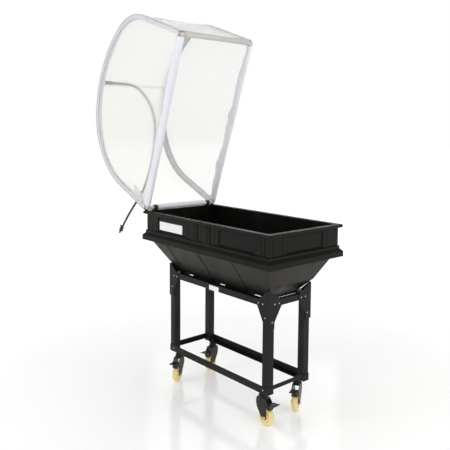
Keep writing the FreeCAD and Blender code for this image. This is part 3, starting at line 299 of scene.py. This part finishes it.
def wheel_finish(name, centre):
    """Cream nylon of one wheel, greyed by dirt in patches toward the tread."""
    made = Finish(name, Subsurface_Weight=0.15, Subsurface_Scale=0.01,
                  Subsurface_Radius=(1.0, 0.8, 0.5), Specular_IOR_Level=0.45)
    moved = made.node("Mapping", Vector=made.place)
    moved.inputs["Location"].default_value = tuple(-v for v in centre)
    away = made.tree.nodes.new("ShaderNodeVectorMath")
    away.operation = "LENGTH"
    made.tree.links.new(moved.outputs["Vector"], away.inputs[0])
    tread = made.ranged(away.outputs["Value"], DIRT_FROM, DIRT_TO, 0.0, 1.0)
    grime = made.multiplied(tread, made.ranged(made.noise(120.0, 5.0, 0.7), 0.4, 0.7, 0.0, 1.0))
    tone = made.blended(made.noise(25.0, 3.0), (0.92, 0.72, 0.31), (0.97, 0.85, 0.44))
    made.feed("Base Color", made.blended(made.multiplied(grime, 0.55), tone, (0.42, 0.36, 0.25)))
    made.feed("Roughness", made.ranged(grime, 0.0, 1.0, 0.34, 0.6))
    made.bumped(made.noise(300.0, 2.0), 0.0002, 0.4, 0.001)
    return made.material


# The distance between the cloth's threads, and the radians per metre of a wave texture of scale 1.
THREAD_PITCH = 0.0012
WAVE_TURN = 20


def woven(name, dark, light, see_through, blur=0.47):
    """Coated fabric: a fine weave in tone and relief under a thin smooth coating."""
    made = Finish(name, Transmission_Weight=see_through, Sheen_Weight=0.08, Sheen_Roughness=0.5,
                  IOR=1.06)
    warp = made.node("TexWave", Vector=made.place, Scale=math.tau / THREAD_PITCH / WAVE_TURN)
    warp.bands_direction = "Y"
    weft = made.node("TexWave", Vector=made.place, Scale=math.tau / THREAD_PITCH / WAVE_TURN)
    weft.bands_direction = "DIAGONAL"
    cloudy = made.noise(5.0, 4.0, 0.6)
    weave = made.multiplied(warp.outputs["Fac"], weft.outputs["Fac"])
    tone = made.summed(made.ranged(cloudy, 0.3, 0.7, 0.0, 0.7), made.ranged(weave, 0.0, 1.0, 0.0, 0.3))
    made.feed("Base Color", made.blended(tone, dark, light))
    made.feed("Roughness", made.ranged(cloudy, 0.3, 0.7, blur - 0.015, blur + 0.015))
    made.bumped(made.summed(made.multiplied(weave, 0.12), made.noise(28.0, 2.0)), 0.0002, 0.04)
    return made.material


def finishes():
    """The finish of each slot in the record."""
    return {
        "tub_plastic": tub_finish(),
        "hopper_plastic": hopper_finish(),
        "rubber_black": moulded("soft_rubber", (0.012, 0.012, 0.012), (0.022, 0.022, 0.021),
                                (0.6, 0.8), 500.0, 0.0003, 20.0),
        "label_white": moulded("blank_label", (0.80, 0.81, 0.80), (0.90, 0.90, 0.89),
                               (0.30, 0.45), 300.0, 0.0001, 12.0, 0.0004),
        "frame_steel": powder_coat(),
        "zinc_steel": zinc_plate(),
        "caster_steel": moulded("caster_black", (0.008, 0.008, 0.008), (0.018, 0.018, 0.017),
                                (0.22, 0.42), 260.0, 0.0002, 40.0, 0.001, Specular_IOR_Level=0.35),
        "pedal_plastic": moulded("pedal_black", (0.010, 0.010, 0.010), (0.022, 0.022, 0.022),
                                 (0.30, 0.45), 520.0, 0.0003, 25.0, 0.001, Specular_IOR_Level=0.3),
        "white_tube": moulded("white_tube", (0.78, 0.79, 0.80), (0.87, 0.88, 0.89),
                              (0.30, 0.45), 300.0, 0.0002, 14.0, 0.0006),
        "socket_plastic": moulded("beige_socket", (0.50, 0.45, 0.37), (0.62, 0.57, 0.48),
                                  (0.40, 0.55), 400.0, 0.0003, 22.0, 0.001),
        "clip_plastic": moulded("clip_black", (0.010, 0.010, 0.010), (0.020, 0.020, 0.020),
                                (0.35, 0.5), 500.0, 0.0003, 25.0, 0.001),
        "hose_rubber": moulded("hose_black", (0.008, 0.008, 0.008), (0.018, 0.018, 0.018),
                               (0.38, 0.55), 350.0, 0.0004, 30.0, 0.0),
        "fitting_plastic": moulded("fitting_black", (0.009, 0.009, 0.009), (0.02, 0.02, 0.02),
                                   (0.3, 0.45), 480.0, 0.0003, 25.0, 0.0008),
        "cover_fabric": woven("cover_fabric", (0.975, 0.972, 0.958), (0.992, 0.990, 0.980), 0.84, 0.24),
    }


SLOT_OF = (
    ("corner_post", "tub_plastic"), ("wall_", "tub_plastic"), ("hopper", "hopper_plastic"),
    ("drain_plug", "rubber_black"), ("hose_grommet", "rubber_black"), ("blank_labels", "label_white"),
    ("leg_", "frame_steel"), ("top_rail", "frame_steel"), ("lower_rail", "frame_steel"),
    ("corner_gussets", "frame_steel"), ("frame_bolts", "zinc_steel"), ("caster_axle", "zinc_steel"),
    ("caster_heads", "caster_steel"), ("caster_fork", "caster_steel"), ("brake_pedal", "pedal_plastic"),
    ("hoop_", "white_tube"), ("side_tube", "white_tube"), ("hinge_tube", "white_tube"),
    ("free_end_tube", "white_tube"), ("ridge_pole", "white_tube"), ("corner_sockets", "socket_plastic"),
    ("hinge_clips", "clip_plastic"), ("mist_head", "fitting_plastic"),
    ("hose_connector", "fitting_plastic"), ("mist_hose", "hose_rubber"), ("cover_", "cover_fabric"),
)


def dress_nodes(made):
    """Gives each CAD node its finish through its object's own material slots."""
    for name, node in nodes.items():
        if name.startswith("caster_wheel"):
            low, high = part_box(name)
            finish_name = "wheel_cream_" + name.removeprefix("caster_wheel_")
            material = wheel_finish(finish_name, (low + high) / 2)
        else:
            slot = next(slot for start, slot in SLOT_OF if name.startswith(start))
            material = made[slot]
        for holder in node.material_slots:
            holder.link = "OBJECT"
            holder.material = material


# ---------------------------------------------------------------- the canopy's own frame

hinge_joint = next(j for j in frame["joints"] if j["name"] == "canopy_hinge")
HINGE = np.array(hinge_joint["pos_m"])
OPEN = math.radians(hinge_joint["range_deg"][1])

# The closed canopy's tube lines: along from the hinge tube to the free-end tube, and side to side.
LENGTH = 0.976
WIDTH = 0.472
HALF = WIDTH / 2
# A hoop's line: a leaning leg at the hinge, three arcs and a straight leg at the free end. An arc is
# its centre along and up, and its radius. The crown runs between two directions of its radius.
LEG_TILT = math.radians(85.2)
LEG_FOOT = (0.0, 0.0105)
LEG_LONG = 0.2940
HAUNCH_HINGE = (0.453, 0.2678, 0.430)
CROWN = (0.488, 0.0455, 0.655)
HAUNCH_FREE = (0.714, 0.367, 0.262)
CROWN_FROM = math.radians(99.0)
CROWN_TO = math.radians(54.9)
# How far outside the tube lines the roof and the gables lie, how high they start, and two cloths.
COVER_OUT = 0.0125
GABLE_OUT = 0.0125
COVER_FOOT = 0.014
CLOTH = 0.0010
THIN_CLOTH = 0.0008
END_OF = {-1: "front", 1: "rear"}


def placed(points):
    """Points of the closed canopy (along, across, up) in the row frame, with the canopy open."""
    p = np.asarray(points, float).reshape(-1, 3)
    along, across, up = p.T
    return np.stack([
        HINGE[0] + along * math.cos(OPEN) - up * math.sin(OPEN),
        HINGE[1] + across,
        HINGE[2] + along * math.sin(OPEN) + up * math.cos(OPEN),
    ], axis=1)


def arch(offset, spacing):
    """The arch's line, offset outwards: rows of along, up, outward along, outward up and run."""
    tilt = np.array([math.cos(LEG_TILT), math.sin(LEG_TILT)])
    out = np.array([-tilt[1], tilt[0]])
    rows = []
    foot = np.array(LEG_FOOT) + out * offset
    start = (COVER_FOOT - foot[1]) / tilt[1]
    for s in np.linspace(start, LEG_LONG, int(LEG_LONG / spacing), endpoint=False):
        rows.append((*(foot + tilt * s), *out))
    sweeps = (
        (HAUNCH_HINGE, LEG_TILT + math.pi / 2, CROWN_FROM),
        (CROWN, CROWN_FROM, CROWN_TO),
        (HAUNCH_FREE, CROWN_TO, 0.0),
    )
    for (along, up, radius), begin, end in sweeps:
        count = int((begin - end) * radius / spacing)
        for a in np.linspace(begin, end, count, endpoint=False):
            way = (math.cos(a), math.sin(a))
            rows.append((along + (radius + offset) * way[0], up + (radius + offset) * way[1], *way))
    for up in np.linspace(HAUNCH_FREE[1], COVER_FOOT, int(HAUNCH_FREE[1] / spacing)):
        rows.append((LENGTH + offset, up, 1.0, 0.0))
    line = np.array(rows)
    runs = np.concatenate([[0], np.cumsum(np.linalg.norm(np.diff(line[:, :2], axis=0), axis=1))])
    return np.column_stack([line, runs])


def rumple(seed, terms, shortest, longest):
    """A smooth random function of two lengths in metres, from about -1 to 1."""
    draw = np.random.default_rng(seed)
    angle = draw.uniform(0, math.tau, terms)
    size = np.exp(draw.uniform(math.log(shortest), math.log(longest), terms))
    phase = draw.uniform(0, math.tau, terms)
    weight = size / size.max()

    def value(a, b):
        total = 0.0
        for t, s, p, w in zip(angle, size, phase, weight):
            total = total + w * np.sin((a * math.cos(t) + b * math.sin(t)) * math.tau / s + p)
        return total / weight.sum() * 1.8

    return value


def mesh_piece(name, points, faces, material):
    """A smooth-shaded mesh that rides on the canopy."""
    data = bpy.data.meshes.new(name)
    data.from_pydata([tuple(p) for p in np.asarray(points, float)], [], faces)
    data.update()
    for polygon in data.polygons:
        polygon.use_smooth = True
    piece = bpy.data.objects.new(name, data)
    scene.collection.objects.link(piece)
    data.materials.append(material)
    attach(piece, "canopy")
    return piece


def grid_faces(rows, columns, wrap=False):
    """Four-sided faces between rows of points, closed round each row if wrap is set."""
    across = columns if wrap else columns - 1
    return [
        (r * columns + c, r * columns + (c + 1) % columns,
         (r + 1) * columns + (c + 1) % columns, (r + 1) * columns + c)
        for r in range(rows - 1) for c in range(across)
    ]


def thicken(piece, thickness):
    made = piece.modifiers.new("cloth", "SOLIDIFY")
    made.thickness = thickness
    made.offset = 0.0
    return piece


def soften(piece):
    made = piece.modifiers.new("smooth", "SUBSURF")
    made.levels = 1
    made.render_levels = 1
    return piece


# ---------------------------------------------------------------- the cover


def make_roof(material):
    """One continuous sheet over the arch: taut on the hoops, slack between them, puckered at its hems."""
    line = arch(COVER_OUT, 0.012)
    across = np.linspace(-HALF - GABLE_OUT, HALF + GABLE_OUT, 49)
    broad = rumple(11, 9, 0.16, 0.6)
    pleats = rumple(12, 7, 0.045, 0.11)
    sag, ripple, pucker = 0.0035, 0.0022, 0.0030
    taut_reach, hem_reach = 0.05, 0.07
    total = line[-1, 4]
    free = np.clip(np.abs(np.abs(across) - HALF) / taut_reach, 0, 1)
    middle = np.clip(1 - (across / HALF) ** 2, 0, 1)
    points = []
    for along, up, out_along, out_up, run in line:
        from_hem = min(run, total - run)
        slack = -sag * middle + ripple * broad(run, across) * free * middle
        gathered = pucker * pleats(0.4 * run, across) * math.exp(-from_hem / hem_reach) * free
        for y, push in zip(across, slack + gathered):
            points.append((along + out_along * push, y, up + out_up * push))
    roof = mesh_piece("roof_sheet", placed(points), grid_faces(len(line), len(across)), material)
    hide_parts("cover_roof")
    return thicken(roof, CLOTH)


def make_gable(side, seed, material):
    """The flat cloth of one long side, stretched from the arch down to the side tube."""
    line = arch(COVER_OUT, 0.014)
    steps = 40
    broad = rumple(seed, 10, 0.14, 0.5)
    pleats = rumple(seed + 1, 8, 0.05, 0.12)
    rays = rumple(seed + 2, 6, 0.10, 0.25)
    sag, ripple, pucker, ray = 0.0040, 0.0020, 0.0022, 0.0020
    edge_reach, corner_reach = 0.06, 0.22
    most_out = 0.0012
    points = []
    for t in np.arange(steps + 1) / steps:
        for a, up in line[:, :2]:
            v = COVER_FOOT + (up - COVER_FOOT) * t
            edge = min(1.0, (1 - t) * up / edge_reach)
            low = math.exp(-(v - COVER_FOOT) / edge_reach)
            corner = (math.exp(-math.hypot(a, v) / corner_reach)
                      + math.exp(-math.hypot(a - LENGTH, v) / corner_reach))
            bend = math.atan2(v, min(a, LENGTH - a)) * 0.35
            push = (-sag * edge * (1 - low) + ripple * broad(a, v) * edge
                    + pucker * pleats(a, 0.5 * v) * low + ray * rays(bend, 0.2 * v) * corner * edge)
            points.append((a, side * (HALF + GABLE_OUT + min(most_out, push)), v))
    faces = grid_faces(steps + 1, len(line))
    gable = mesh_piece("gable_sheet_" + END_OF[side], placed(points), faces, material)
    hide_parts("cover_gable_" + END_OF[side])
    return thicken(gable, CLOTH)


# The open section of the tape at a cover's corner, in millimetres: across and outwards, from the hoop.
BINDING = (
    (-16, 13.9), (-6, 14.2), (6, 14.6), (11.8, 14.7), (13.9, 13.0), (14.1, 4), (13.8, -4), (13.4, -10.5),
)


def make_binding(side, material):
    """The folded tape sewn over the corner where a gable meets the roof, along the whole arch."""
    line = arch(0.0, 0.010)
    waves = rumple(31 if side < 0 else 32, 6, 0.03, 0.09)
    wave_out, wave_over = 0.0005, 0.0004
    points = []
    for along, up, out_along, out_up, run in line:
        for k, (over, out) in enumerate(BINDING):
            over, out = over / 1000, out / 1000
            reach = out + wave_out * waves(run, 0.01 * k)
            points.append((along + out_along * reach, side * (HALF + over + wave_over * waves(run, k)),
                           up + out_up * reach))
    faces = grid_faces(len(line), len(BINDING))
    piece = mesh_piece("hoop_binding_" + END_OF[side], placed(points), faces, material)
    return thicken(soften(piece), THIN_CLOTH)


# The section of a sleeve round a tube, in millimetres: outwards from the tube's line, and up.
SLEEVE = (
    (13.4, 27), (13.8, 20), (13.9, 12), (13.3, 4), (11.9, -2.6), (9.2, -7.8), (3.9, -11.5), (-2.2, -12.0),
    (-8.4, -8.8), (-11.7, -2.3), (-11.9, 4), (-10.4, 12), (-6.5, 22), (-1.5, 31), (4.0, 38), (9.5, 42),
)
# Beyond this far out a sleeve lies against the cover and hardly wrinkles.
SLEEVE_OUTSIDE = 0.0105
# The section of the pocket round a hoop, in millimetres: outwards across the tub, and out from the arch.
POCKET = (
    (13.8, 10), (13.8, 2), (12.8, -5), (9.2, -9.2), (2.3, -11.8), (-5.8, -10.4), (-11.2, -4.2), (-11.8, 2.8),
    (-12.8, 8), (-17.0, 12.4), (-11.0, 13.4), (-3.0, 13.8), (5.0, 13.8), (11.0, 13.6),
)


def make_sleeve(name, long, put, seed, material, loose):
    """A wrinkled sleeve sewn round one of the base tubes. put(out, run, up) places its points."""
    stations = int(long / 0.010)
    crush = rumple(seed, 9, 0.03, 0.12)
    sway = rumple(seed + 1, 6, 0.10, 0.40)
    middle_up, top_up = 0.004, 0.042
    puff = 0.0010
    points = []
    for i in range(stations + 1):
        run = i / stations * long
        for k, (out, up) in enumerate(SLEEVE):
            out, up = out / 1000, up / 1000
            high = max(0.0, up / top_up)
            inner = 1.0 if out < SLEEVE_OUTSIDE else 0.12
            swell = puff * (1 + crush(run, 0.012 * k)) * (0.3 + 0.7 * inner)
            reach = math.hypot(out, up - middle_up)
            o = out + out / reach * swell * inner
            v = up + (up - middle_up) / reach * swell * (1 if up < 0 else 0.5)
            v += loose * high * inner * (0.5 * sway(run, 0.0) + 0.5 * crush(run, 0.0))
            points.append(put(o, run, v))
    piece = mesh_piece(name, placed(points), grid_faces(stations + 1, len(SLEEVE), True), material)
    return thicken(soften(piece), THIN_CLOTH)


def make_painted_shade_cord(side, material):
    """The thin dark cord rolled into the outer seam of an arch, from the hinge to the free end: painted
    shade, a dark line standing in for the shading along the cloth's doubled edge.
    """
    line = arch(0.0, 0.010)
    waves = rumple(95 if side < 0 else 96, 6, 0.04, 0.15)
    around = 8
    centre, radius, wander = 0.0141, 0.0014, 0.0003
    points = []
    for along, up, out_along, out_up, run in line:
        for k in range(around):
            turn = k / around * math.tau
            over = centre + radius * math.cos(turn) + wander * waves(run, 0.0)
            out = centre + radius * math.sin(turn) + wander * waves(run, 0.1)
            points.append((along + out_along * out, side * (HALF + over), up + out_up * out))
    faces = grid_faces(len(line), around, True)
    piece = mesh_piece("seam_piping_" + END_OF[side], placed(points), faces, material)
    return soften(piece)


def make_pocket(side, material):
    """The cloth pocket that each hoop runs in, inside the seam of the gable and the roof."""
    line = arch(0.0, 0.012)
    crush = rumple(91 if side < 0 else 92, 8, 0.04, 0.14)
    puff = 0.0012
    points = []
    for along, up, out_along, out_up, run in line:
        for k, (over, out) in enumerate(POCKET):
            over, out = over / 1000, out / 1000
            inside = over < 0.009 and out < 0.011
            loose = puff * (1 + crush(run, 0.012 * k)) if inside else 0.0
            grown = 1 + loose / math.hypot(over, out)
            points.append((along + out_along * out * grown, side * (HALF + over * grown),
                           up + out_up * out * grown))
    faces = grid_faces(len(line), len(POCKET), True)
    piece = mesh_piece("hoop_pocket_" + END_OF[side], placed(points), faces, material)
    return thicken(soften(piece), THIN_CLOTH)


def make_patch(material):
    """The four-sided stiffening patch sewn on the front gable's outer face, near the hinge."""
    foot_near, foot_far = np.array((0.004, 0.045)), np.array((0.062, 0.045))
    top_near, top_far = np.array((0.010, 0.146)), np.array((0.078, 0.150))
    out = GABLE_OUT + 0.0016
    steps = 10
    shares = np.arange(steps + 1) / steps
    points = []
    for s in shares:
        for t in shares:
            near = (1 - t) * foot_near + t * top_near
            far = (1 - t) * foot_far + t * top_far
            a, v = (1 - s) * near + s * far
            points.append((a, -(HALF + out), v))
    piece = mesh_piece("corner_patch", placed(points), grid_faces(steps + 1, steps + 1), material)
    return thicken(piece, THIN_CLOTH)


def make_cover(made):
    """The whole sewn cover: three declared sheets, and the sleeves, tapes and pockets that go with them."""
    fabric = made["cover_fabric"]
    # Painted shade: the sleeves' cloth is a darker blue-grey than the cover, standing in for the shading on
    # the white sleeves.
    painted_shade_sleeve_cloth = woven("sleeve_fabric", (0.75, 0.77, 0.82), (0.88, 0.90, 0.94), 0.10)
    # Painted shade: the binding tape is a blue-grey darker than the cover, standing in for the shading along
    # the hoops.
    tape = woven("seam_tape", (0.72, 0.74, 0.79), (0.84, 0.86, 0.90), 0.30)
    # Painted shade: the free-end hem gets a mid grey cloth that stands in for the shadow lying on it.
    painted_shade_hem_cloth = woven("hem_fabric", (0.50, 0.49, 0.48), (0.62, 0.61, 0.60), 0.05)
    pocket_cloth = woven("pocket_fabric", (0.965, 0.965, 0.965), (0.985, 0.985, 0.985), 0.40)
    patch_cloth = woven("patch_fabric", (0.86, 0.86, 0.84), (0.90, 0.90, 0.88), 0.60)
    # Painted shade: a dark grey cloth for the seam cord, standing in for the shading along the arch's edge.
    painted_shade_cord_cloth = woven("seam_piping", (0.30, 0.295, 0.30), (0.46, 0.455, 0.47), 0.0)
    roof = make_roof(fabric)
    # What a sleeve leaves bare at a corner socket, and the hinge sleeve's reach each way from its middle.
    gap = 0.014
    clip_room = 0.172
    long = LENGTH - 2 * gap
    sleeves = {
        "front": make_sleeve("sleeve_front", long,
                             lambda o, r, v: (gap + r, -HALF - o, v), 51, painted_shade_sleeve_cloth, 0.007),
        "rear": make_sleeve("sleeve_rear", long,
                            lambda o, r, v: (gap + r, HALF + o, v), 61, painted_shade_sleeve_cloth, 0.020),
        "hinge": make_sleeve("sleeve_hinge", 2 * clip_room,
                             lambda o, r, v: (-o, r - clip_room, v), 71, painted_shade_sleeve_cloth, 0.005),
        "free": make_sleeve("sleeve_free_end", WIDTH - 2 * gap,
                            lambda o, r, v: (LENGTH + o, r - HALF + gap, v), 81, painted_shade_hem_cloth, 0.005),
    }
    for side, end, seed in ((-1, "front", 21), (1, "rear", 41)):
        gable = make_gable(side, seed, fabric)
        going = [sleeves[end], make_binding(side, tape), make_pocket(side, pocket_cloth),
                 make_painted_shade_cord(side, painted_shade_cord_cloth)]
        if end == "front":
            going.append(make_patch(patch_cloth))


# ---------------------------------------------------------------- the mist hose

HOSE_DIAMETER = 0.013
# The hose's route in the closed canopy, from the spray head at the ridge to the loose end: along,
# across and up from the middle of the hinge tube.
HOSE_ROUTE = (
    (0.520, -0.186, 0.686), (0.520, -0.130, 0.686), (0.521, -0.075, 0.682), (0.515, -0.030, 0.656),
    (0.492, -0.005, 0.597), (0.450, 0.004, 0.515), (0.393, -0.006, 0.425), (0.325, -0.036, 0.345),
    (0.255, -0.072, 0.277), (0.182, -0.108, 0.222), (0.106, -0.136, 0.190), (0.030, -0.156, 0.182),
    (-0.050, -0.166, 0.207), (-0.126, -0.171, 0.241), (-0.200, -0.174, 0.272), (-0.276, -0.175, 0.300),
)


def make_hose(material):
    """The mist hose: a stiff curve that hangs inside the canopy and leaves it near the hinge."""
    data = bpy.data.curves.new("mist_line", "CURVE")
    data.dimensions = "3D"
    data.bevel_depth = HOSE_DIAMETER / 2
    data.bevel_resolution = 6
    data.resolution_u = 12
    data.use_fill_caps = True
    spline = data.splines.new("NURBS")
    route = placed(HOSE_ROUTE)
    spline.points.add(len(route) - 1)
    for point, place in zip(spline.points, route):
        point.co = (*place, 1.0)
    spline.order_u = 3
    spline.use_endpoint_u = True
    hose = bpy.data.objects.new("mist_line", data)
    scene.collection.objects.link(hose)
    data.materials.append(material)
    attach(hose, "canopy")
    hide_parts("mist_hose")


# ---------------------------------------------------------------- floor and assembly


def make_floor():
    """A pale, slightly glossy floor that only stages the object."""
    rows = 9
    steps = np.linspace(-FLOOR_REACH, FLOOR_REACH, rows)
    points = [(x, y, 0.0) for y in steps for x in steps]
    data = bpy.data.meshes.new("floor")
    data.from_pydata(points, [], grid_faces(rows, rows))
    floor = bpy.data.objects.new("floor", data)
    scene.collection.objects.link(floor)
    made = Finish("pale_floor", Emission_Color=(1, 1, 1, 1))
    far = made.node("VectorMath", Vector=made.place)
    far.operation = "LENGTH"
    glow = made.ranged(far.outputs["Value"], FLOOR_GLOW_NEAR[0], FLOOR_GLOW_FAR[0],
                       FLOOR_GLOW_NEAR[1], FLOOR_GLOW_FAR[1])
    made.feed("Emission Strength", glow)
    made.feed("Base Color", made.blended(made.noise(3.0), (0.93, 0.93, 0.93), (0.95, 0.95, 0.95)))
    made.feed("Roughness", made.ranged(made.noise(8.0), 0.3, 0.7, 0.10, 0.16))
    data.materials.append(made.material)


make_camera()
make_studio()
make_floor()
slots = finishes()
dress_nodes(slots)
make_cover(slots)
make_hose(slots["hose_rubber"])
